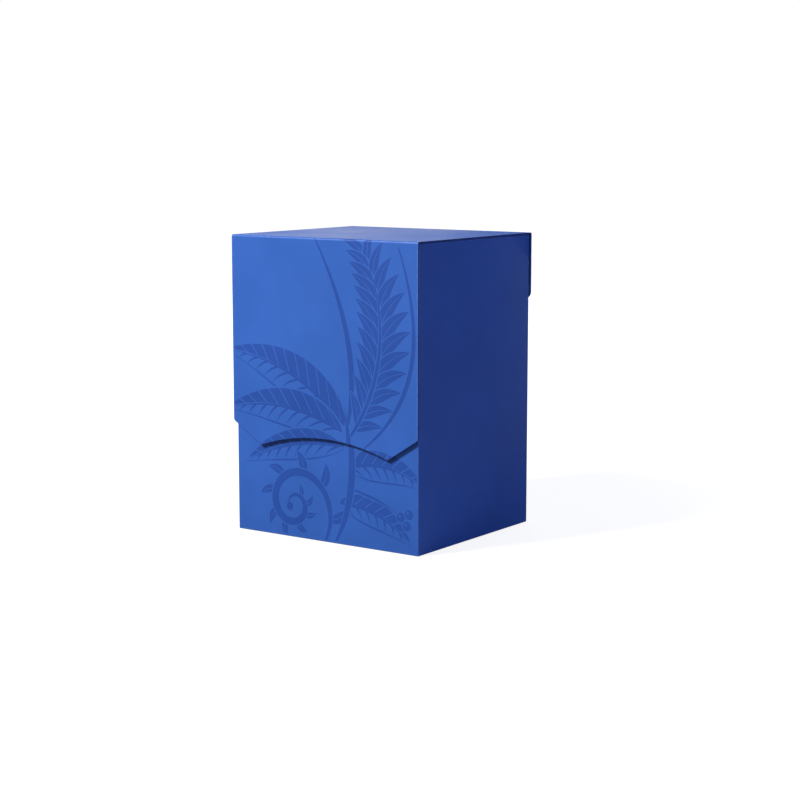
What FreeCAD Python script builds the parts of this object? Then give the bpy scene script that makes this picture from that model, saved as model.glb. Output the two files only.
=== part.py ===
import FreeCAD, Part
import os

# Card deck box: a rigid tray for a stack of cards, closed by one thin cover sheet that is glued to
# the tray's back, folds over its top as the lid and hangs down its front as a magnetic flap.
# Millimetres. +Z is up and the flap faces -Y. The origin is the centre of the face it rests on.

# Overall sizes
tray_width = 75.0
tray_depth = 66.3
box_height = 101.0

# Sheets and boards of the tray
wrap_thickness = 0.2
board_thickness = 1.5
liner_thickness = 0.5
base_sheet_margin = 1.5
wrap_turn_under = 8.0
rim_turn_in = 1.5

# Cover sheet
cover_thickness = 0.52
cover_overhang = 0.62
flap_stand_off = 1.28
lid_gap = 0.1
rear_crease_leg = 1.3
rear_crease_radius = 0.6
front_crease_leg = 2.0
front_crease_radius = 0.7
back_strip_height = 22.8
back_strip_corner_radius = 2.5

# Outline of the flap, as heights above the resting face
flap_side_height = 38.0
flap_point_height = 30.5
flap_point_x = 26.2
flap_arch_height = 35.0
flap_corner_radius = 1.2
flap_point_radius = 0.8

# Layers behind the lid and the flap
lid_board_thickness = 0.8
lid_lining_thickness = 0.3
lid_board_clearance = 1.2
lid_lining_inset = 0.5
flap_board_thickness = 0.48
flap_lining_thickness = 0.2
flap_board_inset = 1.5
flap_lining_inset = 1.0

# Closure
magnet_radius = 5.0
magnet_thickness = 1.0
pocket_clearance = 0.1
magnet_x = 24.0
magnet_height = 41.0
thumb_notch_radius = 13.0

# Planes worked out from the sizes above
half_width = tray_width / 2
half_depth = tray_depth / 2
rim_height = box_height - cover_thickness - lid_gap
cover_half_width = half_width + cover_overhang
flap_outer_y = -half_depth - flap_stand_off
back_outer_y = half_depth + cover_thickness
lid_underside = box_height - cover_thickness
skin_half_width = half_width - wrap_thickness
skin_half_depth = half_depth - wrap_thickness
space_half_width = skin_half_width - board_thickness
space_half_depth = skin_half_depth - board_thickness
mouth_half_width = space_half_width - wrap_thickness
mouth_half_depth = space_half_depth - wrap_thickness
board_bottom = 2 * wrap_thickness
board_top = rim_height - wrap_thickness
base_top = board_bottom + board_thickness
liner_bottom = base_top + liner_thickness
liner_top = rim_height - rim_turn_in


def block(x_low, x_high, y_low, y_high, z_low, z_high):
    corner = FreeCAD.Vector(x_low, y_low, z_low)
    return Part.makeBox(x_high - x_low, y_high - y_low, z_high - z_low, corner)


def centred_block(half_x, half_y, z_low, z_high):
    return block(-half_x, half_x, -half_y, half_y, z_low, z_high)


def disc(radius, x, y_low, thickness, z):
    return Part.makeCylinder(radius, thickness, FreeCAD.Vector(x, y_low, z), FreeCAD.Vector(0, 1, 0))


def round_edges(shape, direction, radius, wanted):
    """Round the straight edges that run along a direction and whose middle is wanted."""
    chosen = []
    for edge in shape.Edges:
        if not isinstance(edge.Curve, Part.Line):
            continue
        if abs(edge.Curve.Direction.dot(direction)) > 0.999 and wanted(edge.CenterOfMass):
            chosen.append(edge)
    return shape.makeFillet(radius, chosen)


# Tray: boards

def thumb_notch():
    """Half-round cut through the front wall, so that a thumb reaches the cards."""
    return disc(thumb_notch_radius, 0, -half_depth - 1, board_thickness + 3, rim_height)


def base_board():
    return centred_block(space_half_width, space_half_depth, board_bottom, base_top)


def front_board():
    wall = block(-skin_half_width, skin_half_width, -skin_half_depth, -space_half_depth,
                 board_bottom, board_top)
    wall = wall.cut(thumb_notch())
    for x in (-magnet_x, magnet_x):
        wall = wall.cut(disc(magnet_radius + pocket_clearance, x, -skin_half_depth, magnet_thickness,
                             magnet_height))
    return wall


def back_board():
    return block(-skin_half_width, skin_half_width, space_half_depth, skin_half_depth,
                 board_bottom, board_top)


def side_board(side):
    inner = side * space_half_width
    outer = side * skin_half_width
    return block(min(inner, outer), max(inner, outer), -space_half_depth, space_half_depth,
                 board_bottom, board_top)


def tray_magnet(side):
    return disc(magnet_radius, side * magnet_x, -skin_half_depth, magnet_thickness, magnet_height)


# Tray: wrap, base sheet and liners

def outer_wrap():
    """Skin round the four sides, over the rim and a little way down inside, and under the base."""
    skin = centred_block(half_width, half_depth, wrap_thickness, rim_height)
    skin = round_edges(skin, FreeCAD.Vector(0, 0, 1), 0.35, lambda middle: True)
    skin = skin.cut(centred_block(skin_half_width, skin_half_depth, board_bottom, board_top))
    skin = skin.cut(centred_block(mouth_half_width, mouth_half_depth, board_top, rim_height))
    skin = skin.cut(centred_block(half_width - wrap_turn_under, half_depth - wrap_turn_under,
                                  wrap_thickness, board_bottom))
    turn_in = centred_block(space_half_width, space_half_depth, liner_top, board_top)
    turn_in = turn_in.cut(centred_block(mouth_half_width, mouth_half_depth, liner_top, board_top))
    return skin.fuse(turn_in).cut(thumb_notch()).removeSplitter()


def base_sheet():
    """Sheet under the base; its middle fills the space inside the wrap's turned-under edge."""
    sheet = centred_block(half_width - base_sheet_margin, half_depth - base_sheet_margin,
                          0, wrap_thickness)
    middle = centred_block(half_width - wrap_turn_under, half_depth - wrap_turn_under,
                           wrap_thickness, board_bottom)
    return sheet.fuse(middle).removeSplitter()


def base_liner():
    return centred_block(space_half_width, space_half_depth, base_top, liner_bottom)


def end_liner(side):
    """Lining of the front wall (side -1, notched for the thumb) or of the back wall (side 1)."""
    outer = side * mouth_half_depth
    inner = side * (mouth_half_depth - liner_thickness)
    sheet = block(-mouth_half_width, mouth_half_width, min(inner, outer), max(inner, outer),
                  liner_bottom, liner_top)
    if side < 0:
        sheet = sheet.cut(thumb_notch())
    return sheet


def side_liner(side):
    outer = side * mouth_half_width
    inner = side * (mouth_half_width - liner_thickness)
    reach = mouth_half_depth - liner_thickness
    return block(min(inner, outer), max(inner, outer), -reach, reach, liner_bottom, liner_top)


# Cover: fixed back strip, creases, lid and flap

def crease(corner_y, side, leg, radius):
    """Folded strip of the cover sheet at a top edge; side 1 is the rear edge, -1 the front."""
    def point(inwards, down):
        return FreeCAD.Vector(-cover_half_width, corner_y - side * inwards, box_height - down)

    def bend(start, centre_offset, bend_radius, end):
        middle = centre_offset - bend_radius * 0.5 ** 0.5
        return Part.Arc(start, point(middle, middle), end).toShape()

    inner_radius = radius - cover_thickness
    thick = cover_thickness
    outer_low = point(0, leg)
    outer_bend_low = point(0, radius)
    outer_bend_high = point(radius, 0)
    outer_high = point(leg, 0)
    inner_high = point(leg, thick)
    inner_bend_high = point(radius, thick)
    inner_bend_low = point(thick, radius)
    inner_low = point(thick, leg)
    edges = [
        Part.makeLine(outer_low, outer_bend_low),
        bend(outer_bend_low, radius, radius, outer_bend_high),
        Part.makeLine(outer_bend_high, outer_high),
        Part.makeLine(outer_high, inner_high),
        Part.makeLine(inner_high, inner_bend_high),
        bend(inner_bend_high, radius, inner_radius, inner_bend_low),
        Part.makeLine(inner_bend_low, inner_low),
        Part.makeLine(inner_low, outer_low),
    ]
    section = Part.Face(Part.Wire(edges))
    return section.extrude(FreeCAD.Vector(2 * cover_half_width, 0, 0))


def rear_crease():
    return crease(back_outer_y, 1, rear_crease_leg, rear_crease_radius)


def front_crease():
    return crease(flap_outer_y, -1, front_crease_leg, front_crease_radius)


def back_strip():
    strip_bottom = box_height - back_strip_height
    strip = block(-cover_half_width, cover_half_width, half_depth, back_outer_y,
                  strip_bottom, box_height - rear_crease_leg)
    return round_edges(strip, FreeCAD.Vector(0, 1, 0), back_strip_corner_radius,
                       lambda middle: middle.z < strip_bottom + 1)


def lid_panel():
    return block(-cover_half_width, cover_half_width, flap_outer_y + front_crease_leg,
                 back_outer_y - rear_crease_leg, lid_underside, box_height)


def lid_layer(inset, z_low, z_high):
    half_x = mouth_half_width - inset
    half_y = mouth_half_depth - inset
    layer = centred_block(half_x, half_y, z_low, z_high)
    return round_edges(layer, FreeCAD.Vector(0, 0, 1), 1.5, lambda middle: True)


def lid_board():
    return lid_layer(lid_board_clearance, lid_underside - lid_board_thickness, lid_underside)


def lid_lining():
    top = lid_underside - lid_board_thickness
    return lid_layer(lid_board_clearance + lid_lining_inset, top - lid_lining_thickness, top)


def flap_outline():
    """Front leg of the cover: straight sides, slanted ends to two points, and an arch between."""
    def point(x, z):
        return FreeCAD.Vector(x, 0, z)

    top = box_height - front_crease_leg
    corners = [
        point(-flap_point_x, flap_point_height),
        point(-cover_half_width, flap_side_height),
        point(-cover_half_width, top),
        point(cover_half_width, top),
        point(cover_half_width, flap_side_height),
        point(flap_point_x, flap_point_height),
    ]
    edges = [Part.makeLine(start, end) for start, end in zip(corners, corners[1:])]
    edges.append(Part.Arc(corners[-1], point(0, flap_arch_height), corners[0]).toShape())
    return Part.Wire(edges)


def flap_layer(inset, y_low, thickness):
    """One layer of the flap: its outline, drawn in all round by the inset, with rounded corners."""
    outline = flap_outline()
    if inset > 0:
        outline = outline.makeOffset2D(-inset, 2, False, False, False)
    layer = Part.Face(outline).extrude(FreeCAD.Vector(0, thickness, 0))
    layer.translate(FreeCAD.Vector(0, y_low, 0))
    along_y = FreeCAD.Vector(0, 1, 0)
    layer = round_edges(layer, along_y, flap_corner_radius, lambda middle: (
        abs(middle.x) > flap_point_x + 5 and middle.z < box_height / 2))
    return round_edges(layer, along_y, flap_point_radius, lambda middle: (
        abs(abs(middle.x) - flap_point_x) < 3 and middle.z < flap_arch_height))


def flap_face():
    return flap_layer(0, flap_outer_y, cover_thickness)


def flap_board():
    board_y = flap_outer_y + cover_thickness
    board = flap_layer(flap_board_inset, board_y, flap_board_thickness)
    for x in (-magnet_x, magnet_x):
        hole = disc(magnet_radius + pocket_clearance, x, board_y, flap_board_thickness, magnet_height)
        board = board.cut(hole)
    return board


def flap_lining():
    lining_y = flap_outer_y + cover_thickness + flap_board_thickness
    return flap_layer(flap_lining_inset, lining_y, flap_lining_thickness)


def keeper(side):
    return disc(magnet_radius, side * magnet_x, flap_outer_y + cover_thickness,
                flap_board_thickness, magnet_height)


nodes = {
    "base_board": base_board(),
    "front_board": front_board(),
    "back_board": back_board(),
    "left_board": side_board(-1),
    "right_board": side_board(1),
    "tray_magnet_left": tray_magnet(-1),
    "tray_magnet_right": tray_magnet(1),
    "outer_wrap": outer_wrap(),
    "base_sheet": base_sheet(),
    "base_liner": base_liner(),
    "front_liner": end_liner(-1),
    "back_liner": end_liner(1),
    "left_liner": side_liner(-1),
    "right_liner": side_liner(1),
    "back_strip": back_strip(),
    "rear_crease": rear_crease(),
    "lid_panel": lid_panel(),
    "lid_board": lid_board(),
    "lid_lining": lid_lining(),
    "front_crease": front_crease(),
    "flap_face": flap_face(),
    "flap_board": flap_board(),
    "flap_lining": flap_lining(),
    "keeper_left": keeper(-1),
    "keeper_right": keeper(1),
}

os.makedirs("parts", exist_ok=True)
for name, shape in nodes.items():
    solids = shape.Solids
    print(name, "valid" if shape.isValid() else "INVALID", len(solids), round(shape.Volume, 2))
    shape.exportStep("parts/" + name + ".step")
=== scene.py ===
import math

import bmesh
import bpy
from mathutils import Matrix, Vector
from mathutils.geometry import delaunay_2d_cdt


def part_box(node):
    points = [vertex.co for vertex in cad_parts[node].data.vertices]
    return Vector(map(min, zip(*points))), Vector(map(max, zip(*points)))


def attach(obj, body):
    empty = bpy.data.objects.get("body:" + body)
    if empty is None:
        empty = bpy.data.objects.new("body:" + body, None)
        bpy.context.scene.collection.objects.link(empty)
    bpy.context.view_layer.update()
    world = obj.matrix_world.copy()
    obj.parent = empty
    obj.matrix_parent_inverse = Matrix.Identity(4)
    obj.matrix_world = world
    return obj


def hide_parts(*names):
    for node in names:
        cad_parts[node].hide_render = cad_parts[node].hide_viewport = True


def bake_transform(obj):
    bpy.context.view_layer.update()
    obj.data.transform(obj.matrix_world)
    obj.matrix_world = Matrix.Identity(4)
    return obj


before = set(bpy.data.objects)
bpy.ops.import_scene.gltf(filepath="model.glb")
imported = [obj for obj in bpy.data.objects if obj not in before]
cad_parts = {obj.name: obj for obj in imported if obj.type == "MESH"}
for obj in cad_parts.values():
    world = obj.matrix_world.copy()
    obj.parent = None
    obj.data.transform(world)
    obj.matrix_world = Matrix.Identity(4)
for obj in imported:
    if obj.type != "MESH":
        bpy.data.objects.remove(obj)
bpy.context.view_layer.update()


def new_object(name, data):
    made = bpy.data.objects.new(name, data)
    bpy.context.scene.collection.objects.link(made)
    return made


# ----------
# Camera. A long lens looks slightly down on the corner between the flap and the right-hand side,
# from a little over half a metre away, so that the box's upright edges stay nearly parallel.
aim = Vector((0.0045, 0.0032, 0.0439))
camera_distance = 0.6326
camera_azimuth = math.radians(35.36)
camera_elevation = math.radians(8.28)

camera_data = bpy.data.cameras.new("camera")
camera_data.lens = 82.94
camera_data.sensor_width = 36
camera_data.clip_start = 0.01
camera = new_object("camera", camera_data)
towards_camera = Vector((
    math.sin(camera_azimuth) * math.cos(camera_elevation),
    -math.cos(camera_azimuth) * math.cos(camera_elevation),
    math.sin(camera_elevation),
))
camera.location = aim + camera_distance * towards_camera
camera.rotation_euler = (math.pi / 2 - camera_elevation, 0, camera_azimuth)
bpy.context.scene.camera = camera
bpy.context.scene.view_settings.view_transform = "Standard"

# ----------
# Studio. A pale seamless floor under a dim sky, with one soft key light high at the front left. A
# weaker fill stands at the right, one light shows the back, and a low panel puts a sheen on the lid.
sky_tint = (0.8, 0.86, 1, 1)
sky_strength = 0.11
floor_tone = (0.25, 0.26, 0.28, 1)
floor_half = 6.0
floor_gap = 0.00002
glow_near = 0.87
glow_far = 1.0
glow_start = 0.1
glow_reach = 0.45


def fill(tree, node, inputs):
    """Gives a node's inputs, by name or number, a socket to follow or a plain number or colour."""
    for name, value in inputs.items():
        if isinstance(value, bpy.types.NodeSocket):
            tree.links.new(value, node.inputs[name])
        else:
            node.inputs[name].default_value = value
    return node


def add_node(tree, kind, inputs=None, **settings):
    node = tree.nodes.new(kind)
    for name, value in settings.items():
        setattr(node, name, value)
    return fill(tree, node, inputs or {})


def new_material(name):
    material = bpy.data.materials.new(name)
    material.use_nodes = True
    tree = material.node_tree
    return material, tree, tree.nodes["Principled BSDF"]


def shown_apart(tree, unseen, seen):
    """Shader that is one thing to the light in the scene and another to the camera."""
    return add_node(tree, "ShaderNodeMixShader", {
        "Fac": add_node(tree, "ShaderNodeLightPath").outputs["Is Camera Ray"],
        1: unseen.outputs[0], 2: seen.outputs[0]}).outputs[0]


def area_light(name, direction, distance, size, power, colour):
    """Square light that faces the box and can't be seen itself."""
    data = bpy.data.lights.new(name, "AREA")
    data.shape = "SQUARE"
    data.size = size
    data.energy = power
    data.color = colour
    light = new_object(name, data)
    light.location = aim + distance * Vector(direction).normalized()
    light.rotation_euler = (light.location - aim).to_track_quat("Z", "Y").to_euler()
    light.visible_camera = False


area_light("key_light", (-0.46, -1.0, 0.96), distance=0.85, size=0.17, power=11.6,
           colour=(1, 0.985, 0.96))
area_light("fill_light", (0.92, 0.06, 0.36), distance=0.95, size=0.5, power=3.0,
           colour=(0.62, 0.58, 1))
area_light("sheen_panel", (-0.68, 0.78, 0.22), distance=0.95, size=0.3, power=0.56, colour=(1, 1, 1))
area_light("rear_light", (-0.1, 1.0, 0.08), distance=1.0, size=0.3, power=4.2, colour=(0.85, 0.9, 1))

world = bpy.data.worlds.new("white_sky")
bpy.context.scene.world = world
world.use_nodes = True
sky_tree = world.node_tree
sky_tree.nodes.clear()
seen_sky = add_node(sky_tree, "ShaderNodeBackground", {"Color": (1, 1, 1, 1), "Strength": 1.0})
dim_sky = add_node(sky_tree, "ShaderNodeBackground", {"Color": sky_tint, "Strength": sky_strength})
add_node(sky_tree, "ShaderNodeOutputWorld", {"Surface": shown_apart(sky_tree, dim_sky, seen_sky)})

floor_mesh = bpy.data.meshes.new("floor")
floor_mesh.from_pydata([(x * floor_half, y * floor_half, -floor_gap)
                        for x, y in ((-1, -1), (1, -1), (1, 1), (-1, 1))], [], [(0, 1, 2, 3)])
floor = new_object("floor", floor_mesh)

pale_floor, floor_tree, floor_shader = new_material("pale_floor")
floor_grain = add_node(floor_tree, "ShaderNodeTexNoise", {"Scale": 40})
floor_dullness = add_node(floor_tree, "ShaderNodeMapRange", {
    "Value": floor_grain.outputs["Fac"], "To Min": 0.62, "To Max": 0.68})
fill(floor_tree, floor_shader, {
    "Base Color": floor_tone, "Roughness": floor_dullness.outputs["Result"],
    "Specular IOR Level": 0.1})
floor_distance = add_node(floor_tree, "ShaderNodeVectorMath", {
    0: add_node(floor_tree, "ShaderNodeTexCoord").outputs["Object"]}, operation="LENGTH")
floor_glow = add_node(floor_tree, "ShaderNodeMapRange", {
    "Value": floor_distance.outputs["Value"], "From Min": glow_start, "From Max": glow_reach,
    "To Min": glow_near, "To Max": glow_far})
glow_shader = add_node(floor_tree, "ShaderNodeEmission", {"Strength": floor_glow.outputs["Result"]})
seen_floor = add_node(floor_tree, "ShaderNodeAddShader", {
    0: floor_shader.outputs[0], 1: glow_shader.outputs[0]})
fill(floor_tree, floor_tree.nodes["Material Output"], {
    "Surface": shown_apart(floor_tree, floor_shader, seen_floor)})
floor.data.materials.append(pale_floor)

# ----------
# Boards. The tray's base and four walls are 1.5 mm greyboard, pressed from waste paper, guillotined
# to size and glued edge to edge. They show only where the thumb notch cuts through the front wall.
greyboard_light = (0.34, 0.315, 0.27, 1)
greyboard_dark = (0.17, 0.155, 0.135, 1)
NUMBER, COLOUR = "NodeSocketFloat", "NodeSocketColor"


def maths(tree, operation, *values, clamp=False):
    return add_node(tree, "ShaderNodeMath", dict(enumerate(values)), operation=operation,
                    use_clamp=clamp).outputs[0]


def plus(tree, first, second):
    return maths(tree, "ADD", first, second)


def minus(tree, first, second):
    return maths(tree, "SUBTRACT", first, second)


def times(tree, first, second):
    return maths(tree, "MULTIPLY", first, second)


def times_plus(tree, value, factor, added, clamp=False):
    return maths(tree, "MULTIPLY_ADD", value, factor, added, clamp=clamp)


def ramp_between(tree, value, low, high, to_low=0.0, to_high=1.0):
    """Smooth step of a value from one level to another."""
    return add_node(tree, "ShaderNodeMapRange", {
        "Value": value, "From Min": low, "From Max": high, "To Min": to_low, "To Max": to_high},
        interpolation_type="SMOOTHSTEP").outputs["Result"]


def mix_colour(tree, share, first, second):
    return add_node(tree, "ShaderNodeMix", {"Factor": share, 6: first, 7: second},
                    data_type="RGBA").outputs[2]


def noise(tree, place, scale, detail=3.0, roughness=0.55, distortion=0.0):
    return add_node(tree, "ShaderNodeTexNoise", {
        "Vector": place, "Scale": scale, "Detail": detail, "Roughness": roughness,
        "Distortion": distortion}).outputs["Fac"]


def object_place(tree):
    return add_node(tree, "ShaderNodeTexCoord").outputs["Object"]


def stretched(tree, place, x, y, z):
    return add_node(tree, "ShaderNodeMapping", {"Vector": place, "Scale": (x, y, z)}).outputs["Vector"]


def bumped(tree, height, distance):
    return add_node(tree, "ShaderNodeBump", {"Height": height, "Distance": distance}).outputs["Normal"]


def new_group(name, inputs, outputs, build):
    """Shader node group; build(tree, given) draws it and returns what each output puts out."""
    tree = bpy.data.node_groups.new(name, "ShaderNodeTree")
    for socket_name, kind, value in inputs:
        socket = tree.interface.new_socket(socket_name, in_out="INPUT", socket_type=kind)
        socket.default_value = value
    for socket_name, kind in outputs:
        tree.interface.new_socket(socket_name, in_out="OUTPUT", socket_type=kind)
    given = add_node(tree, "NodeGroupInput").outputs
    add_node(tree, "NodeGroupOutput", build(tree, given))
    return tree


def place_group(tree, group, **values):
    """A group's node in a material; names use _ for the blanks in the socket names."""
    inputs = {name.replace("_", " "): value for name, value in values.items()}
    return add_node(tree, "ShaderNodeGroup", inputs, node_tree=group).outputs


def build_pulp(tree, given):
    place = object_place(tree)
    strands = noise(tree, stretched(tree, place, 1.0, 0.35, 1.6), given["Fibre Scale"], detail=6,
                    roughness=0.7, distortion=1.2)
    clouds = noise(tree, place, 160, detail=2)
    specks = ramp_between(tree, noise(tree, place, 2300, detail=1), 0.66, 0.72)
    tone = times_plus(tree, clouds, 0.5, times(tree, strands, 0.6))
    tone = maths(tree, "SUBTRACT", tone, times(tree, specks, 0.4), clamp=True)
    return {"Colour": mix_colour(tree, tone, given["Dark"], given["Light"]), "Height": strands}


pulp_fibres = new_group(
    "pulp_fibres",
    [("Fibre Scale", NUMBER, 900.0), ("Light", COLOUR, greyboard_light),
     ("Dark", COLOUR, greyboard_dark)],
    [("Colour", COLOUR), ("Height", NUMBER)], build_pulp)


def board_material(name, dullness, depth, **fibres):
    """Pressed board; fibres are the values of its pulp."""
    material, tree, shader = new_material(name)
    pulp = place_group(tree, pulp_fibres, **fibres)
    fill(tree, shader, {"Base Color": pulp["Colour"], "Normal": bumped(tree, pulp["Height"], depth),
                        "Roughness": ramp_between(tree, pulp["Height"], 0.2, 0.8, *dullness)})
    return material


def dress(node_name, *materials):
    """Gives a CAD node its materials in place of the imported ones."""
    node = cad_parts[node_name]
    node.data.materials.clear()
    for material in materials:
        node.data.materials.append(material)
    return node


def soften_edges(node, width, segments=3):
    """Rounds a CAD node's sharp edges a little with a bevel modifier."""
    bevel = node.modifiers.new("soft_edges", "BEVEL")
    bevel.width = width
    bevel.segments = segments
    bevel.limit_method = "ANGLE"
    bevel.angle_limit = math.radians(50)


greyboard = board_material("greyboard", (0.82, 0.95), 0.00005, Fibre_Scale=900.0)
for board in ("base_board", "front_board", "back_board", "left_board", "right_board"):
    dress(board, greyboard)

# ----------
# Tray magnets. Two nickel-plated neodymium discs, 10 mm across and 1 mm thick, glued into round
# pockets in the front board before the wrap goes over them.


def plated_material(name, stretch, scale, grain, dark, light, dullness, depth):
    """Bright plating with fine marks that run one way."""
    material, tree, shader = new_material(name)
    marks = noise(tree, stretched(tree, object_place(tree), *stretch), scale, detail=4,
                  roughness=grain)
    fill(tree, shader, {"Base Color": mix_colour(tree, marks, dark, light), "Metallic": 1.0,
                        "Roughness": ramp_between(tree, marks, 0.3, 0.7, *dullness),
                        "Normal": bumped(tree, marks, depth)})
    return material


nickel = plated_material("nickel_plate", (1, 0.05, 1), 2600, 0.6, (0.62, 0.59, 0.53, 1),
                         (0.76, 0.74, 0.7, 1), (0.2, 0.36), 0.000006)
for magnet in ("tray_magnet_left", "tray_magnet_right"):
    soften_edges(dress(magnet, nickel), width=0.00012)

# ----------
# Outer wrap. One sheet of 0.2 mm printed paper with a soft-touch film, drawn tight round the four
# walls, turned over the rim and under the base, and closed by a lap on the back wall.
film_blue = (0.02, 0.09, 0.375, 1)
film_rubbed = (0.085, 0.18, 0.52, 1)
wrap_edge_radius = 0.00035
wrap_rim_radius = 0.00045
wrap_skin = 0.0002
wrap_turn_under = 0.008
sharpest_corner = 0.00004
lap_width = 0.014
lap_thickness = 0.00009
lap_margin = 0.0004
lap_sink = 0.00002
lap_edge = 0.00003
notch_radius = 0.013
notch_segments = 96
cutter_front = 0.002
cutter_back = 0.004
disc_radius = 0.0052
disc_blur = 0.0004
magnet_low, magnet_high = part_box("tray_magnet_right")
disc_middle = (magnet_low + magnet_high) / 2
wrap_low, wrap_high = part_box("outer_wrap")
board_low, board_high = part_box("front_board")
liner_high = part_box("back_liner")[1]
mouth_inset = wrap_high.y - liner_high.y


def build_film(tree, given):
    place = object_place(tree)
    grain = noise(tree, place, given["Grain Scale"], detail=3, roughness=0.6)
    peel = noise(tree, place, given["Mottle Scale"], detail=2, roughness=0.4)
    clouds = noise(tree, place, 28, detail=3, roughness=0.5)
    return {"Height": times_plus(tree, peel, 1.5, grain),
            "Sheen": times_plus(tree, clouds, 0.6, times(tree, grain, 0.4)),
            "Tone": times_plus(tree, clouds, 0.7, times(tree, peel, 0.3))}


soft_touch = new_group(
    "soft_touch_film",
    [("Grain Scale", NUMBER, 2600.0), ("Mottle Scale", NUMBER, 120.0)],
    [("Height", NUMBER), ("Sheen", NUMBER), ("Tone", NUMBER)], build_film)


def build_handling(tree, given):
    place = object_place(tree)
    down = noise(tree, stretched(tree, place, 900, 900, 28), 1.0, detail=2, distortion=0.3)
    across = noise(tree, stretched(tree, place, 36, 36, 1100), 1.0, detail=2, distortion=0.4)
    where = ramp_between(tree, noise(tree, place, 45, detail=2), 0.5, 0.68)
    lines = maths(tree, "MAXIMUM", ramp_between(tree, down, 0.7, 0.78),
                  ramp_between(tree, across, 0.7, 0.78))
    rubbed = times(tree, lines, where)
    return {"Mask": maths(tree, "MULTIPLY", rubbed, given["Amount"], clamp=True)}


handling = new_group("handling_marks", [("Amount", NUMBER, 1.0)], [("Mask", NUMBER)], build_handling)


def build_edge_wear(tree, given):
    """Mask along a box's edges, where a point is near two of its sides."""
    place = add_node(tree, "ShaderNodeSeparateXYZ", {0: object_place(tree)}).outputs
    off_middle = minus(tree, place["Y"], given["Middle Y"])
    x = minus(tree, given["Half X"], maths(tree, "ABSOLUTE", place["X"]))
    y = minus(tree, given["Half Y"], maths(tree, "ABSOLUTE", off_middle))
    z = maths(tree, "MINIMUM", minus(tree, place["Z"], given["Low Z"]),
              minus(tree, given["High Z"], place["Z"]))
    second = maths(tree, "MAXIMUM", maths(tree, "MINIMUM", x, y),
                   maths(tree, "MINIMUM", maths(tree, "MAXIMUM", x, y), z))
    breaks = times(tree, given["Width"], ramp_between(
        tree, noise(tree, object_place(tree), 420, detail=5, roughness=0.7), 0.35, 0.75))
    return {"Mask": ramp_between(tree, minus(tree, second, breaks), times(tree, given["Width"], -0.6),
                                 given["Width"], 1.0, 0.0)}


edge_wear = new_group(
    "box_edge_wear",
    [("Half X", NUMBER, 0.0375), ("Half Y", NUMBER, 0.033), ("Middle Y", NUMBER, 0.0),
     ("Low Z", NUMBER, 0.0), ("High Z", NUMBER, 0.1), ("Width", NUMBER, 0.0006)],
    [("Mask", NUMBER)], build_edge_wear)


def build_disc_witness(tree, given):
    """Height of the faint rounds that two buried discs raise in the front."""
    place = add_node(tree, "ShaderNodeSeparateXYZ", {0: object_place(tree)}).outputs
    across = minus(tree, maths(tree, "ABSOLUTE", place["X"]), given["Disc X"])
    up = minus(tree, place["Z"], given["Disc Z"])
    reach = maths(tree, "SQRT", plus(tree, times(tree, across, across), times(tree, up, up)))
    raised = ramp_between(tree, reach, minus(tree, given["Radius"], disc_blur),
                          plus(tree, given["Radius"], disc_blur), 1.0, 0.0)
    in_front = maths(tree, "LESS_THAN", place["Y"], 0.0)
    return {"Height": times(tree, raised, in_front)}


disc_witness = new_group(
    "disc_witness",
    [("Disc X", NUMBER, disc_middle.x), ("Disc Z", NUMBER, disc_middle.z),
     ("Radius", NUMBER, disc_radius)],
    [("Height", NUMBER)], build_disc_witness)


def film_material(name, colour, rubbed, half_x, half_y, middle_y, low_z, high_z, wear_width,
                  roughness=(0.42, 0.56), discs=0.0):
    """Soft-touch film of one colour: grain, clouded sheen, rub marks and paler, rubbed edges."""
    material, tree, shader = new_material(name)
    film = place_group(tree, soft_touch, Grain_Scale=2600.0, Mottle_Scale=120.0)
    marks = place_group(tree, handling, Amount=0.35)["Mask"]
    worn = place_group(tree, edge_wear, Half_X=half_x, Half_Y=half_y, Middle_Y=middle_y, Low_Z=low_z,
                       High_Z=high_z, Width=wear_width)["Mask"]
    deeper, paler = [(*(share * channel for channel in colour[:3]), 1) for share in (0.93, 1.05)]
    tone = mix_colour(tree, ramp_between(tree, film["Tone"], 0.3, 0.7), deeper, paler)
    tone = mix_colour(tree, times(tree, marks, 0.35), tone, rubbed)
    tone = mix_colour(tree, times(tree, worn, 0.4), tone, rubbed)
    gloss = ramp_between(tree, film["Sheen"], 0.3, 0.7, *roughness)
    gloss = minus(tree, gloss, times(tree, marks, 0.1))
    height = film["Height"]
    if discs:
        ring = place_group(tree, disc_witness)["Height"]
        height = times_plus(tree, ring, discs, height)
    fill(tree, shader, {"Base Color": tone, "Roughness": gloss, "Specular IOR Level": 0.33,
                        "Sheen Weight": 0.02, "Sheen Roughness": 0.45,
                        "Sheen Tint": (0.75, 0.82, 1, 1), "Normal": bumped(tree, height, 0.000026)})
    return material


wrap_film = film_material("wrap_film", film_blue, film_rubbed, wrap_high.x, wrap_high.y, 0.0,
                          wrap_low.z, wrap_high.z, wear_width=0.0005, discs=2.5)


def finish_mesh(shape, name, materials, crease_angle=35):
    """Turns a bmesh into a piece with outward faces, smooth apart from its sharp edges."""
    bmesh.ops.recalc_face_normals(shape, faces=shape.faces)
    for face in shape.faces:
        face.smooth = True
    mesh_data = bpy.data.meshes.new(name)
    shape.to_mesh(mesh_data)
    shape.free()
    mesh_data.set_sharp_from_angle(angle=math.radians(crease_angle))
    piece = new_object(name, mesh_data)
    for material in materials:
        piece.data.materials.append(material)
    return piece


def arc(centre, radius, start, sweep, steps):
    """Points of an arc, from a start angle through a sweep, both in degrees."""
    turns = [math.radians(start + sweep * step / steps) for step in range(steps + 1)]
    return [(centre[0] + radius * math.cos(turn), centre[1] + radius * math.sin(turn))
            for turn in turns]


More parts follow.
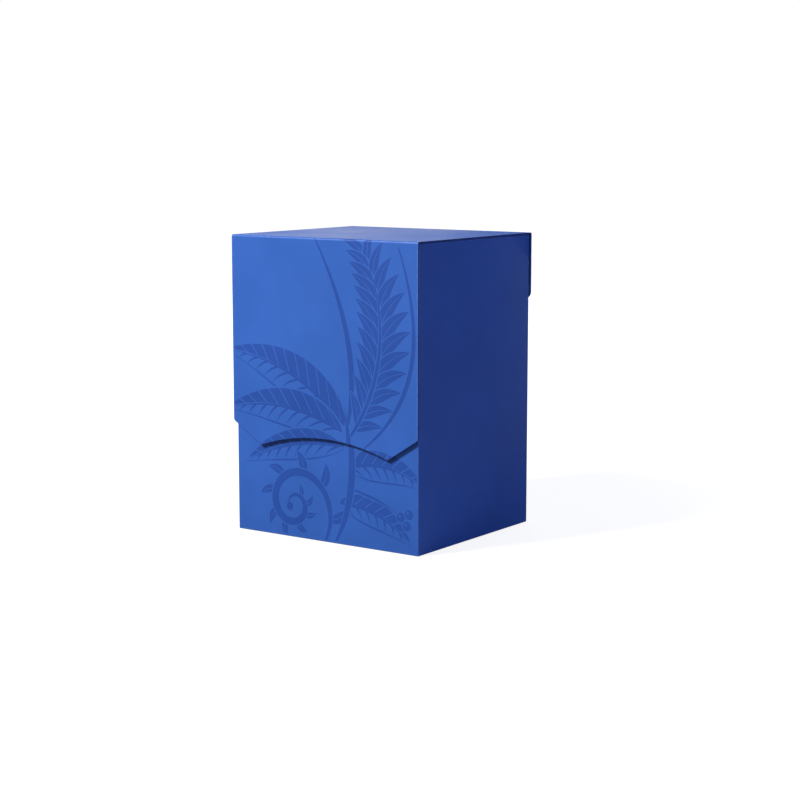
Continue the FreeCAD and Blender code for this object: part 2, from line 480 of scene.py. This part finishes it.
def rounded_rectangle(half_x, half_y, radius):
    """Counter-clockwise outline of a rectangle with rounded corners about the origin."""
    outline = []
    for index, (sign_x, sign_y) in enumerate(((1, 1), (-1, 1), (-1, -1), (1, -1))):
        centre = (sign_x * (half_x - radius), sign_y * (half_y - radius))
        outline += arc(centre, radius, 90 * index, 90, 6)
    return outline


def eased(radius, steps=5):
    """(across, up) points round the quarter circle that eases the corner at the origin."""
    turns = [math.radians(90 * step / steps) for step in range(steps + 1)]
    return [(radius * (1 - math.sin(turn)), radius * (1 - math.cos(turn))) for turn in turns]


def join_rings(shape, rings, looped=False, core_strips=()):
    """Faces between rings of vertices. The ends are capped, or meet if the rings are looped."""
    count = len(rings[0])
    for ring, following in zip(rings, rings[1:] + (rings[:1] if looped else [])):
        for index in range(count):
            after = (index + 1) % count
            face = shape.faces.new((ring[index], ring[after], following[after], following[index]))
            face.material_index = 1 if index in core_strips else 0
    if not looped:
        shape.faces.new(rings[0])
        shape.faces.new(rings[-1][::-1])


def rectangular_rings(shape, profile, half_x, half_y, corner_radius):
    """Rings of vertices round a rectangle, one for each (inset, height) point of a profile."""
    rings = []
    for inset, height in profile:
        radius = max(corner_radius - inset, sharpest_corner)
        outline = rounded_rectangle(half_x - inset, half_y - inset, radius)
        rings.append([shape.verts.new((x, y, height)) for x, y in outline])
    return rings


def wrap_profile():
    """(inset, height) points: under the base, up the outside, over the rim and down the inside."""
    profile = [(wrap_turn_under, wrap_low.z)]
    profile += [(x, wrap_low.z + z) for x, z in eased(wrap_edge_radius)]
    profile += [(z, wrap_high.z - x) for x, z in eased(wrap_rim_radius)]
    profile += [(mouth_inset - x, wrap_high.z - z) for x, z in eased(wrap_rim_radius)]
    return profile + [
        (mouth_inset, liner_high.z),
        (mouth_inset - wrap_skin, liner_high.z),
        (mouth_inset - wrap_skin, board_high.z),
        (wrap_skin, board_high.z),
        (wrap_skin, board_low.z),
        (wrap_turn_under, board_low.z),
    ]


def cut_with(piece, cutter):
    """Cuts one mesh out of another for good and removes the cutter."""
    cut = piece.modifiers.new("cut", "BOOLEAN")
    cut.operation = "DIFFERENCE"
    cut.solver = "EXACT"
    cut.object = cutter
    depsgraph = bpy.context.evaluated_depsgraph_get()
    result = bpy.data.meshes.new_from_object(piece.evaluated_get(depsgraph))
    piece.modifiers.clear()
    piece.data = result
    bpy.data.objects.remove(cutter)


def notch_cutter():
    """Round bar through the front wall, centred on the rim."""
    shape = bmesh.new()
    outline = arc((0, wrap_high.z), notch_radius, 0, 360, notch_segments)[:-1]
    join_rings(shape, [[shape.verts.new((x, y, z)) for x, z in outline]
                       for y in (wrap_low.y - cutter_front, wrap_low.y + cutter_back)])
    return finish_mesh(shape, "notch_cutter", [])


wrap_shell = bmesh.new()
join_rings(wrap_shell, rectangular_rings(wrap_shell, wrap_profile(), wrap_high.x, wrap_high.y,
                                         wrap_edge_radius), looped=True)
tray_wrap = finish_mesh(wrap_shell, "tray_wrap", [wrap_film])
cut_with(tray_wrap, notch_cutter())
tray_wrap.data.set_sharp_from_angle(angle=math.radians(35))
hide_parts("outer_wrap")
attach(tray_wrap, "root")


def slab(name, low, high, edge, materials):
    """Thin rectangular sheet with eased edges, between two corners."""
    shape = bmesh.new()
    bmesh.ops.create_cube(shape, size=1)
    middle = (low + high) / 2
    size = high - low
    for vert in shape.verts:
        vert.co = Vector((vert.co.x * size.x, vert.co.y * size.y, vert.co.z * size.z)) + middle
    bmesh.ops.bevel(shape, geom=shape.edges[:], offset=edge, segments=3, profile=0.5, affect="EDGES")
    return finish_mesh(shape, name, materials)


back_strip_low, back_strip_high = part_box("back_strip")
lap_low = Vector((wrap_high.x - lap_width, wrap_high.y - lap_sink, wrap_low.z + lap_margin))
lap_high = Vector((wrap_high.x - lap_margin, wrap_high.y + lap_thickness, back_strip_low.z - lap_sink))
wrap_lap = slab("wrap_lap", lap_low, lap_high, lap_edge, [wrap_film])
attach(wrap_lap, "root")

# ----------
# Base sheet. A plain piece of the same blue paper glued under the base, a little smaller than the
# footprint, so that it hides the wrap's turned-under edges. The box stands on it.
base_blue = (0.024, 0.08, 0.32, 1)
unworn_below = -0.02
base_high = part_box("base_sheet")[1]
base_film = film_material("base_film", base_blue, film_rubbed, base_high.x, base_high.y, 0.0,
                          unworn_below, wrap_skin, wear_width=0.0012, roughness=(0.5, 0.7))
soften_edges(dress("base_sheet", base_film), width=0.00006, segments=2)

# ----------
# Liners. Thin card covered in black microsuede, glued inside the walls and on the base; their top
# edges stop a little below the rim, where the wrap's blue turn-in shows.
suede_deep = (0.004, 0.0045, 0.006, 1)
suede_raised = (0.03, 0.032, 0.04, 1)


def build_nap(tree, given):
    place = object_place(tree)
    hairs = noise(tree, place, given["Nap Scale"], detail=5, roughness=0.75, distortion=0.8)
    strokes = noise(tree, stretched(tree, place, 1, 1, 0.45), 75, detail=3, roughness=0.6,
                    distortion=0.6)
    tone = times_plus(tree, strokes, 0.9, times_plus(tree, hairs, 0.8, -0.42), clamp=True)
    return {"Colour": mix_colour(tree, tone, given["Deep"], given["Raised"]),
            "Height": times_plus(tree, strokes, 0.4, hairs)}


suede_nap = new_group(
    "suede_nap",
    [("Nap Scale", NUMBER, 1800.0), ("Deep", COLOUR, suede_deep), ("Raised", COLOUR, suede_raised)],
    [("Colour", COLOUR), ("Height", NUMBER)], build_nap)


def suede_material(name, nap_scale, depth):
    material, tree, shader = new_material(name)
    nap = place_group(tree, suede_nap, Nap_Scale=nap_scale)
    fill(tree, shader, {"Base Color": nap["Colour"], "Specular IOR Level": 0.1, "Sheen Weight": 0.14,
                        "Sheen Roughness": 0.4, "Sheen Tint": (0.75, 0.8, 0.95, 1),
                        "Roughness": ramp_between(tree, nap["Height"], 0.3, 1.0, 0.97, 0.86),
                        "Normal": bumped(tree, nap["Height"], depth)})
    return material


tray_suede = suede_material("tray_suede", nap_scale=1800.0, depth=0.0001)
for liner in ("base_liner", "front_liner", "back_liner", "left_liner", "right_liner"):
    soften_edges(dress(liner, tray_suede), width=0.00018)

# ----------
# Tray ornament. A flourish of reeds, leaves and one scroll, printed tone on tone in a darker, drier
# ink. The flap carries the upper part of the same drawing, so the two meet at the flap's edge.
ink_blue = (0.008, 0.052, 0.275, 1)
ink_rubbed = (0.03, 0.09, 0.36, 1)
ink_thickness = 0.000012
ink_sink = 0.00001
unworn_above = 0.2
speck_area = 0.9
# The drawing is in millimetres: x to the right from the box's centre line, z up from the floor.
MM = 0.001


def left_of(heading):
    return Vector((-heading.y, heading.x))


def turned(vector, angle):
    return vector * math.cos(angle) + left_of(vector) * math.sin(angle)


def along(curve, share):
    """Point and unit direction on a cubic curve of four control points."""
    a, b, c, d = curve
    rest = 1 - share
    point = rest ** 3 * a + 3 * rest ** 2 * share * b + 3 * rest * share ** 2 * c + share ** 3 * d
    heading = 3 * rest ** 2 * (b - a) + 6 * rest * share * (c - b) + 3 * share ** 2 * (d - c)
    return point, heading.normalized()


def cubic(*numbers):
    return [Vector((numbers[index], numbers[index + 1])) for index in range(0, 8, 2)]


def bowed(base, tip, bow):
    """Curve from a base to a tip that bows to its left by a share of its length."""
    run = tip - base
    across = left_of(run) * bow
    return [base, base + run * 0.33 + across, base + run * 0.67 + across, tip]


def clean(outline):
    """Drops points that fall on their neighbour."""
    kept = []
    for point in outline:
        if not kept or (point - kept[-1]).length > 1e-4:
            kept.append(point)
    if (kept[0] - kept[-1]).length < 1e-4:
        kept.pop()
    return kept


def brush(points, width, swell=0.5, thin=0.0):
    """Brush stroke along points: thin at both ends and full width at the swell."""
    power = math.log(0.5) / math.log(swell)
    left, right = [], []
    for index, point in enumerate(points):
        share = index / (len(points) - 1)
        heading = points[min(index + 1, len(points) - 1)] - points[max(index - 1, 0)]
        side = left_of(heading).normalized()
        half = 0.5 * width * max(thin, math.sin(math.pi * share ** power))
        left.append(point + side * half)
        right.append(point - side * half)
    return clean(left + right[::-1])


def reed(curve, width, swell, steps):
    return brush([along(curve, step / steps)[0] for step in range(steps + 1)], width, swell)


def haloed(curve, width, swell, halo=0.45):
    """A stroke in ink with a bare margin that parts it from what lies under it."""
    return [(reed(curve, width + 2 * halo, swell, 26), False), (reed(curve, width, swell, 26), True)]


def belly(share, width):
    """Half the width of a leaf at a share of its length."""
    return 0.5 * width * math.sin(math.pi * share ** 0.75) ** 0.85


def beside(curve, share, reach):
    """Point to the left of a curve, or to its right where the reach is negative."""
    point, heading = along(curve, share)
    return point + left_of(heading) * reach


def rim(curve, width, side, share, halo=0.0):
    return beside(curve, share, side * (belly(share, width) + halo))


def silhouette(curve, width, halo, steps):
    left = [rim(curve, width, 1, step / steps, halo) for step in range(steps + 1)]
    right = [rim(curve, width, -1, step / steps, halo) for step in range(steps + 1)]
    return clean(left + right[::-1])


def leaf(base, tip, bow, width, vein):
    """Pointed leaf in two inked halves with a bare vein between them."""
    curve = bowed(base, tip, bow)
    shapes = [(silhouette(curve, width, 0.4, 20), False)]
    shares = [step / 12 for step in range(13)]
    for side in (1, -1):
        outer = [rim(curve, width, side, share) for share in shares]
        inner = [beside(curve, share, side * min(0.5 * vein * (1 - 0.6 * share),
                                                 0.6 * belly(share, width)))
                 for share in shares[1:-1]]
        shapes.append((clean(outer + inner[::-1]), True))
    return shapes


def great_leaf(base, tip, bow, width, ribs, solid):
    """Large ribbed leaf: its solid side cut into segments, the other drawn in outline with ribs."""
    curve = bowed(base, tip, bow)
    gap = 0.5 / (tip - base).length
    slant = 0.13
    shapes = [(silhouette(curve, width, 0.55, 40), False)]
    spans = [0.04 + 0.88 * (index / ribs) ** 0.92 for index in range(ribs + 1)]
    heel = [rim(curve, width, solid, (spans[0] + slant - gap) * step / 8) for step in range(9)]
    heel.append(beside(curve, spans[0] - gap * 0.5, solid * 0.3))
    shapes.append((clean(heel), True))
    for first, last in zip(spans, spans[1:]):
        shares = [first + gap * 0.5 + (last - first - gap) * step / 5 for step in range(6)]
        inner = [beside(curve, share, solid * min(0.5, belly(share, width) * 0.5)) for share in shares]
        outer = [rim(curve, width, solid, min(0.995, share + slant * (1 - share * 0.7)))
                 for share in shares]
        shapes.append((clean(inner + outer[::-1]), True))
    edge = [rim(curve, width, -solid, 0.01 + 0.99 * step / 40) for step in range(41)]
    shapes.append((brush(edge, 0.6, 0.45, 0.3), True))
    for share in spans[:-1]:
        point = along(curve, share)[0]
        end = rim(curve, width, -solid, min(0.99, share + slant * 1.2 * (1 - share * 0.7)))
        shapes.append((reed(bowed(point, end, 0.12 * solid), 0.75, 0.22, 12), True))
    return shapes + [(reed(curve, 1.1, 0.25, 26), True)]


def frond(curve, stem_width, count, first, last, length, angle, leaf_width):
    """Curved stem with leaves on both sides, longest near the middle of the stem."""
    shapes = []
    for index in reversed(range(count)):
        share = index / (count - 1)
        size = 0.45 + 0.55 * math.sin(math.pi * (0.15 + 0.72 * share))
        for side in (1, -1):
            at = first + (last - first) * (share + (0.4 / count if side > 0 else 0))
            point, heading = along(curve, at)
            aimed = turned(heading, side * math.radians(angle * (1.1 - 0.3 * share)))
            shapes += leaf(point, point + aimed * length * size, -side * 0.14, leaf_width * size, 0.34)
    return shapes + haloed(curve, stem_width, 0.3)


def spiral(centre, outer_radius, inner_radius, start_degrees, turns, steps=84):
    points = []
    for step in range(steps + 1):
        share = step / steps
        angle = math.radians(start_degrees) + 2 * math.pi * turns * share
        radius = outer_radius * (inner_radius / outer_radius) ** share
        points.append(centre + radius * Vector((math.cos(angle), math.sin(angle))))
    return points


def berry(centre, radius):
    """Round berry with a bare margin and a bare highlight."""
    return [([Vector(point) for point in arc(middle, reach, 0, 360, 16)[:-1]], inked)
            for middle, reach, inked in ((centre, radius + 0.4, False), (centre, radius, True),
                                         (centre + radius * Vector((-0.3, 0.3)), 0.3 * radius, False))]


def fiddlehead(centre, outer_radius, inner_radius, start_degrees, turns, width, leaflets, reach):
    """Unrolling fern tip: a spiral stem with small leaves along its outer side and a round eye."""
    points = spiral(centre, outer_radius, inner_radius, start_degrees, turns)
    shapes = []
    for index in reversed(range(leaflets)):
        share = (index + 0.4) / leaflets * 0.8
        at = int(share * (len(points) - 2))
        heading = (points[at + 1] - points[at]).normalized()
        out = (points[at] - centre).normalized()
        aimed = (out * 0.85 + heading * 0.7).normalized()
        size = reach * (1 - 0.72 * share)
        shapes += leaf(points[at], points[at] + aimed * size, -0.16, size * 0.4, 0.3)
    shapes.append((brush(points, width + 0.9, 0.35, 0.3), False))
    shapes.append((brush(points, width, 0.35, 0.14), True))
    return shapes + berry(points[-1], inner_radius * 0.62)[1:2]


def flourish():
    shapes = []
    # long blades of grass behind
    shapes += haloed(cubic(12, 30, 46, 52, 38, 82, 27, 108), 1.5, 0.4)
    shapes += haloed(cubic(9, 36, 17, 60, 8, 84, -7, 108), 2.0, 0.35)
    # great frond up the right
    shapes += frond(cubic(9, 34, 23, 50, 29, 74, 17, 97), 1.4, 12, 0.1, 0.95, 16.5, 42, 4.6)
    # three great leaves to the left
    shapes += great_leaf(Vector((9, 40)), Vector((-41, 62)), -0.13, 15, ribs=10, solid=-1)
    shapes += great_leaf(Vector((8, 38)), Vector((-41, 42)), -0.12, 13, ribs=9, solid=-1)
    shapes += great_leaf(Vector((8, 33)), Vector((-34, 24)), -0.10, 10.5, ribs=8, solid=-1)
    # bottom right: leaves and berries
    shapes += great_leaf(Vector((9, 26)), Vector((40, 22)), 0.16, 10.5, ribs=7, solid=1)
    shapes += great_leaf(Vector((6, 14)), Vector((35, 3)), 0.14, 9.5, ribs=7, solid=1)
    shapes += haloed(cubic(8, 20, 16, 18, 24, 17, 30, 12.5), 0.9, 0.4)
    # fiddlehead at the bottom
    shapes += fiddlehead(Vector((-13.0, 11.5)), 18.5, 2.2, -66, 1.75, 2.8, 12, 9.5)
    for x, z in ((30.6, 12.2), (33.9, 13.4), (33.0, 9.6)):
        shapes += berry(Vector((x, z)), 1.6)
    # main stem
    shapes += haloed(cubic(-3, -8, 12, 6, 13, 26, 9, 46), 2.6, 0.6)
    return shapes


def shoelace(outline):
    """Twice the signed area of an outline."""
    total = 0.0
    for first, second in zip(outline, outline[1:] + outline[:1]):
        total += first.x * second.y - second.x * first.y
    return total


def without_specks(points, faces):
    """Leaves out every island of faces too small to print."""
    at_point = {}
    for number, face in enumerate(faces):
        for index in face:
            at_point.setdefault(index, []).append(number)
    unseen = set(range(len(faces)))
    wanted = []
    while unseen:
        island = [unseen.pop()]
        for number in island:
            near = unseen & {other for index in faces[number] for other in at_point[index]}
            unseen -= near
            island += near
        area = sum(abs(shoelace([points[index] for index in faces[number]])) for number in island) / 2
        if area > speck_area:
            wanted += island
    return [faces[number] for number in sorted(wanted)]


def ink_film(name, region, place, materials, bands=()):
    """Thin closed film of ink in the shape of the drawing, cut off at the region's outline.

    Where outlines overlap, the one drawn last says whether there is ink. place(x, z, depth) puts a
    point of the drawing on its surface, and bands cut the film where that surface bends."""
    layers = [(region, False)] + [(band, False) for band in bands] + flourish()
    points, faces = [], []
    for outline, _inked in layers:
        if shoelace(outline) < 0:
            outline = outline[::-1]
        faces.append(list(range(len(points), len(points) + len(outline))))
        points += outline
    made = delaunay_2d_cdt(points, [], faces, 1, 1e-4, True)
    film_points, film_faces, owners = made[0], made[2], made[5]
    inked = [face for face, owner in zip(film_faces, owners) if 0 in owner and layers[max(owner)][1]]
    kept = without_specks(film_points, inked)
    used = sorted({index for face in kept for index in face})
    shape = bmesh.new()
    outer, inner = [{index: shape.verts.new(place(*film_points[index], depth)) for index in used}
                    for depth in (-ink_thickness, ink_sink)]
    borders = {(start, end) for face in kept for start, end in zip(face, face[1:] + face[:1])}
    for face in kept:
        shape.faces.new([outer[index] for index in face])
        shape.faces.new([inner[index] for index in reversed(face)])
    for start, end in sorted(borders):
        if (end, start) not in borders:
            shape.faces.new((outer[end], outer[start], inner[start], inner[end]))
    if not bands:
        bmesh.ops.dissolve_limit(shape, angle_limit=math.radians(0.5), verts=shape.verts,
                                 edges=shape.edges)
    return finish_mesh(shape, name, materials)


ink = film_material("ornament_ink", ink_blue, ink_rubbed, wrap_high.x, wrap_high.y, 0.0, wrap_low.z,
                    unworn_above, wear_width=0.0005, roughness=(0.5, 0.62))
ink_margin = 0.45
ink_foot = 1.0
ink_head = 1.6
ink_round_notch = 0.9
ink_right = wrap_high.x / MM - ink_margin
ink_top = wrap_high.z / MM - ink_head
notch_middle = Vector((0, wrap_high.z / MM))
notch_reach = notch_radius / MM + ink_round_notch
notch_dip = math.degrees(math.asin((notch_middle.y - ink_top) / notch_reach))
notch_edge = arc(notch_middle, notch_reach, -notch_dip, 2 * notch_dip - 180, notch_segments // 2)
tray_region = [Vector(point) for point in [
    (-ink_right, ink_foot), (ink_right, ink_foot), (ink_right, ink_top), *notch_edge,
    (-ink_right, ink_top)]]
tray_ornament = ink_film("tray_ornament", tray_region,
                         lambda x, z, depth: (x * MM, wrap_low.y + depth, z * MM), [ink])
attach(tray_ornament, "root")

# ----------
# Back strip. The rear leg of the cover sheet, a half-millimetre laminated board with a navy core,
# glued across the top of the tray's back. It stands proud of the wrap and has rounded corners.
cover_rubbed = (0.08, 0.18, 0.52, 1)
core_navy = (0.0035, 0.012, 0.07, 1)
core_light = (0.008, 0.024, 0.11, 1)
sheet_edge_radius = 0.0001
sheet_band = 0.00045
back_corner_radius = 0.0025
cover_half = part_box("lid_panel")[1].x
cover_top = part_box("lid_panel")[1].z
cover_sheet = cover_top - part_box("lid_panel")[0].z
flap_low, flap_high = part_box("flap_face")
back_face_y = back_strip_high.y
flap_face_y = flap_low.y
cover_middle_y = (back_face_y + flap_face_y) / 2
cover_half_y = (back_face_y - flap_face_y) / 2

cover_film = film_material("cover_film", film_blue, cover_rubbed, cover_half, cover_half_y,
                           cover_middle_y, unworn_below, cover_top, wear_width=0.00055)
core_board = board_material("navy_core", (0.75, 0.92), 0.00003, Fibre_Scale=3200.0,
                            Light=core_light, Dark=core_navy)


def sheet_profile(thickness):
    """(inset, depth) points round a cut edge, from the outer face to the inner one."""
    corner = eased(sheet_edge_radius, 3)
    outer = [(sheet_band, 0.0)] + corner
    inner = [(sheet_band, thickness)] + [(inset, thickness - depth) for inset, depth in corner]
    return outer + inner[::-1]


def inset_path(path, inset):
    """Moves an open outline inwards, to its left; its two ends slide along the sheet's flush edge."""
    moved = []
    for index, point in enumerate(path):
        before = path[max(index - 1, 0)]
        after = path[min(index + 1, len(path) - 1)]
        into = (point - before) if index > 0 else (after - point)
        out_of = (after - point) if index < len(path) - 1 else into
        first = left_of(into).normalized()
        second = left_of(out_of).normalized()
        middle = (first + second).normalized()
        moved.append(point + middle * (inset / max(middle.dot(first), 0.3)))
    return moved


def rounded_path(corners, steps=8):
    """Open outline through (x, z, radius) corners, with an arc at each one that has a radius."""
    path = []
    for index, (x, z, radius) in enumerate(corners):
        corner = Vector((x, z))
        if radius <= 0:
            path.append(corner)
            continue
        before = (Vector(corners[index - 1][:2]) - corner).normalized()
        after = (Vector(corners[index + 1][:2]) - corner).normalized()
        half_angle = before.angle(after) / 2
        reach = radius / math.tan(half_angle)
        centre = corner + (before + after).normalized() * (radius / math.sin(half_angle))
        start = corner + before * reach - centre
        sweep = start.angle_signed(corner + after * reach - centre)
        path += [centre + turned(start, -sweep * step / steps) for step in range(steps + 1)]
    return path


def cut_sheet(name, path, thickness, place, materials):
    """Sheet cut to an open outline, closed by a flush end. Slot 1 is the core on the cut edge.

    place(x, z, depth) puts a point of the sheet in the box's frame."""
    shape = bmesh.new()
    rings = []
    for inset, depth in sheet_profile(thickness):
        rings.append([shape.verts.new(place(point.x, point.y, depth))
                      for point in inset_path(path, inset)])
    middle = len(rings) // 2
    for number, (ring, following) in enumerate(zip(rings, rings[1:])):
        for index in range(len(path) - 1):
            face = shape.faces.new((ring[index], ring[index + 1], following[index + 1], following[index]))
            face.material_index = 1 if number == middle - 1 else 0
    shape.faces.new(rings[0])
    shape.faces.new(rings[-1][::-1])
    shape.faces.new([ring[0] for ring in rings] + [ring[-1] for ring in reversed(rings)])
    return finish_mesh(shape, name, materials)


back_path = rounded_path([
    (-cover_half, back_strip_high.z, 0), (-cover_half, back_strip_low.z, back_corner_radius),
    (cover_half, back_strip_low.z, back_corner_radius), (cover_half, back_strip_high.z, 0)])
back_sheet = cut_sheet("back_sheet", back_path, cover_sheet,
                       lambda x, z, depth: (x, back_face_y - depth, z), [cover_film, core_board])
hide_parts("back_strip")
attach(back_sheet, "root")

# ----------
# Rear crease. The cover sheet's scored fold along the back's top edge, pressed nearly square. It is
# the lid's hinge: the sheet itself bends, and score lines on its inner face make it bend there.
rear_fold_radius = 0.0006
rear_score_depth = 0.00006
fold_steps = 12
leg_steps = 6


def fold_stations(corner_y, side, leg, radius, score):
    """(y, z, inward direction, thickness) along a fold; side 1 is the rear edge, -1 the front."""
    stations = []

    def add(inwards, down, angle, thickness):
        direction = Vector((0, -side * math.cos(angle), -math.sin(angle)))
        stations.append((corner_y - side * inwards, cover_top - down, direction, thickness))

    for step in range(leg_steps):
        add(0, leg - (leg - radius) * step / leg_steps, 0, cover_sheet)
    for step in range(fold_steps + 1):
        angle = math.pi / 2 * step / fold_steps
        groove = score if step in (0, 1, fold_steps - 1, fold_steps) else 0
        add(radius * (1 - math.cos(angle)), radius * (1 - math.sin(angle)), angle, cover_sheet - groove)
    for step in range(leg_steps):
        add(radius + (leg - radius) * (step + 1) / leg_steps, 0, math.pi / 2, cover_sheet)
    return stations


def swept_sheet(name, stations, materials):
    """Sheet with two cut edges at left and right, swept through the stations and closed at its ends."""
    shape = bmesh.new()
    sections = []
    for y, z, inward, thickness in stations:
        section = []
        for side in (-1, 1):
            points = [Vector((side * (cover_half - inset), y, z)) + inward * depth
                      for inset, depth in sheet_profile(thickness)]
            section += points if side < 0 else points[::-1]
        sections.append([shape.verts.new(point) for point in section])
    count = len(sections[0])
    join_rings(shape, sections, core_strips=(count // 4 - 1, count // 4 - 1 + count // 2))
    return finish_mesh(shape, name, materials, crease_angle=50)


lid_low, lid_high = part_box("lid_panel")
rear_leg = back_face_y - lid_high.y
rear_fold = swept_sheet("rear_fold", fold_stations(back_face_y, 1, rear_leg, rear_fold_radius,
                                                   rear_score_depth), [cover_film, core_board])
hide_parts("rear_crease")
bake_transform(rear_fold)

# ----------
# Lid panel. The flat top of the cover sheet, which lies on the tray's rim and reaches a little past
# its sides. It is plain, with the same soft-touch film as the flap.
lid_flat = Vector((0, 0, -1))
lid_sheet = swept_sheet("lid_sheet", [(lid_high.y, lid_high.z, lid_flat, cover_sheet),
                                      (lid_low.y, lid_high.z, lid_flat, cover_sheet)],
                        [cover_film, core_board])
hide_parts("lid_panel")
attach(lid_sheet, "lid")

# ----------
# Lid board and lining. A 0.8 mm greyboard stiffener under the lid, wrapped in the same black
# microsuede as the tray; together they drop into the tray's mouth and keep the lid square.
pad_low, pad_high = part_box("lid_board")
pad_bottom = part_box("lid_lining")[0].z
pad_wrap = 0.0002
pad_corner = 0.0016
pad_edge = 0.0003
dress("lid_board", greyboard)
lid_suede = suede_material("lid_suede", nap_scale=1800.0, depth=0.00008)


def pad_profile():
    """(inset, height) points: from the middle of the underside out, up the side and back inside."""
    profile = [(x, pad_bottom + z) for x, z in eased(pad_edge)]
    return profile + [(0, pad_high.z), (pad_wrap, pad_high.z), (pad_wrap, pad_low.z)]


pad_shape = bmesh.new()
join_rings(pad_shape, rectangular_rings(pad_shape, pad_profile(), pad_high.x + pad_wrap,
                                        pad_high.y + pad_wrap, pad_corner))
lid_pad_cover = finish_mesh(pad_shape, "lid_pad_cover", [lid_suede])
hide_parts("lid_lining")
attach(lid_pad_cover, "lid")

# ----------
# Front crease. The fold between lid and flap, scored on its inner face and pressed square along the
# box's top front edge. It is the flap's hinge.
front_fold_radius = 0.0007
front_score_depth = 0.00003
front_leg = lid_low.y - flap_face_y
front_fold = swept_sheet("front_fold", fold_stations(flap_face_y, -1, front_leg, front_fold_radius,
                                                     front_score_depth), [cover_film, core_board])
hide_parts("front_crease")
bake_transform(front_fold)

# ----------
# Flap. The long front leg of the cover sheet, die-cut with two blunt points and a shallow arch
# between them. It hangs clear of the tray by the thickness of its core and lining.
flap_side_height = 0.038
flap_point_height = 0.0305
flap_point_x = 0.0262
flap_arch_height = 0.035
flap_corner_radius = 0.0012
flap_point_radius = 0.0008
arch_steps = 40

# (x, z, radius) corners of the flap's free edge, from its top left round to its top right
arch_rise = flap_arch_height - flap_point_height
arch_radius = (flap_point_x ** 2 + arch_rise ** 2) / (2 * arch_rise)
arch_spread = math.degrees(math.asin(flap_point_x / arch_radius))
arch = arc((0, flap_arch_height - arch_radius), arch_radius, 90 + arch_spread, -2 * arch_spread,
           arch_steps)
flap_corners = [
    (-cover_half, flap_high.z, 0), (-cover_half, flap_side_height, flap_corner_radius),
    (-flap_point_x, flap_point_height, flap_point_radius),
    *[(x, z, 0) for x, z in arch[1:-1]],
    (flap_point_x, flap_point_height, flap_point_radius),
    (cover_half, flap_side_height, flap_corner_radius), (cover_half, flap_high.z, 0)]
flap_path = rounded_path(flap_corners)
flap_sheet = cut_sheet("flap_sheet", flap_path, cover_sheet,
                       lambda x, z, depth: (x, flap_face_y + depth, z), [cover_film, core_board])
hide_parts("flap_face")
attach(flap_sheet, "flap")

# ----------
# Flap core and keepers. A half-millimetre board behind the flap's face holds two tinned steel discs
# opposite the tray's magnets.
dress("flap_board", greyboard)
tinned = plated_material("tinned_steel", (1, 1, 0.04), 3000, 0.65, (0.5, 0.5, 0.5, 1),
                         (0.68, 0.68, 0.67, 1), (0.28, 0.45), 0.000005)
for keeper in ("keeper_left", "keeper_right"):
    soften_edges(dress(keeper, tinned), width=0.00008, segments=2)

# ----------
# Flap lining. Black lining paper on the flap's inner face, set in a millimetre from the cut edge;
# the two steel discs show through it as faint rounds.
lining_paper, lining_tree, lining_shader = new_material("lining_paper")
lining_nap = place_group(lining_tree, suede_nap, Nap_Scale=2600.0)
lining_discs = place_group(lining_tree, disc_witness)["Height"]
lining_height = times_plus(lining_tree, lining_discs, 2.0, lining_nap["Height"])
fill(lining_tree, lining_shader, {
    "Base Color": lining_nap["Colour"], "Normal": bumped(lining_tree, lining_height, 0.00004),
    "Roughness": ramp_between(lining_tree, lining_nap["Height"], 0.3, 1.0, 0.8, 0.66)})
soften_edges(dress("flap_lining", lining_paper), width=0.00005, segments=2)

# ----------
# Flap ornament. The upper part of the flourish, in the same ink, printed on the flap's face before
# the sheet is cut, so that it runs off the arch and carries on down the tray.
ink_bleed = 0.0001
flap_region = [point / MM for point in inset_path(flap_path, ink_bleed)]
flap_ornament = ink_film("flap_ornament", flap_region,
                         lambda x, z, depth: (x * MM, flap_face_y + depth, z * MM), [ink])
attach(flap_ornament, "flap")

# ----------
# Fold ornament. The top of the same print, where the reeds and the frond run off the flap and round
# the front fold; it is shaped to the sheet's curve there.
front_straight = front_leg - front_fold_radius
fold_print_steps = fold_steps - 2


def on_front_fold(x, z, depth):
    """Point of the drawing on the fold, by its height above the flap along the sheet."""
    climb = z * MM - flap_high.z
    if climb <= front_straight:
        return x * MM, flap_face_y + depth, flap_high.z + climb
    angle = (climb - front_straight) / front_fold_radius
    reach = front_fold_radius - depth
    return (x * MM, flap_face_y + front_fold_radius - reach * math.cos(angle),
            cover_top - front_fold_radius + reach * math.sin(angle))


def print_band(low, high):
    """Strip of the drawing right across the fold, between two heights along the sheet."""
    side = (cover_half - ink_bleed) / MM
    low = (flap_high.z + low) / MM
    high = (flap_high.z + high) / MM
    return [Vector((-side, low)), Vector((side, low)), Vector((side, high)), Vector((-side, high))]


arc_step = front_fold_radius * math.pi / 2 / fold_steps
climbs = [front_straight * step / leg_steps for step in range(leg_steps)]
climbs += [front_straight + arc_step * step for step in range(fold_print_steps + 1)]
fold_ornament = ink_film("fold_ornament", print_band(0, climbs[-1]), on_front_fold, [ink],
                         [print_band(low, high) for low, high in zip(climbs, climbs[1:])])
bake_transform(fold_ornament)
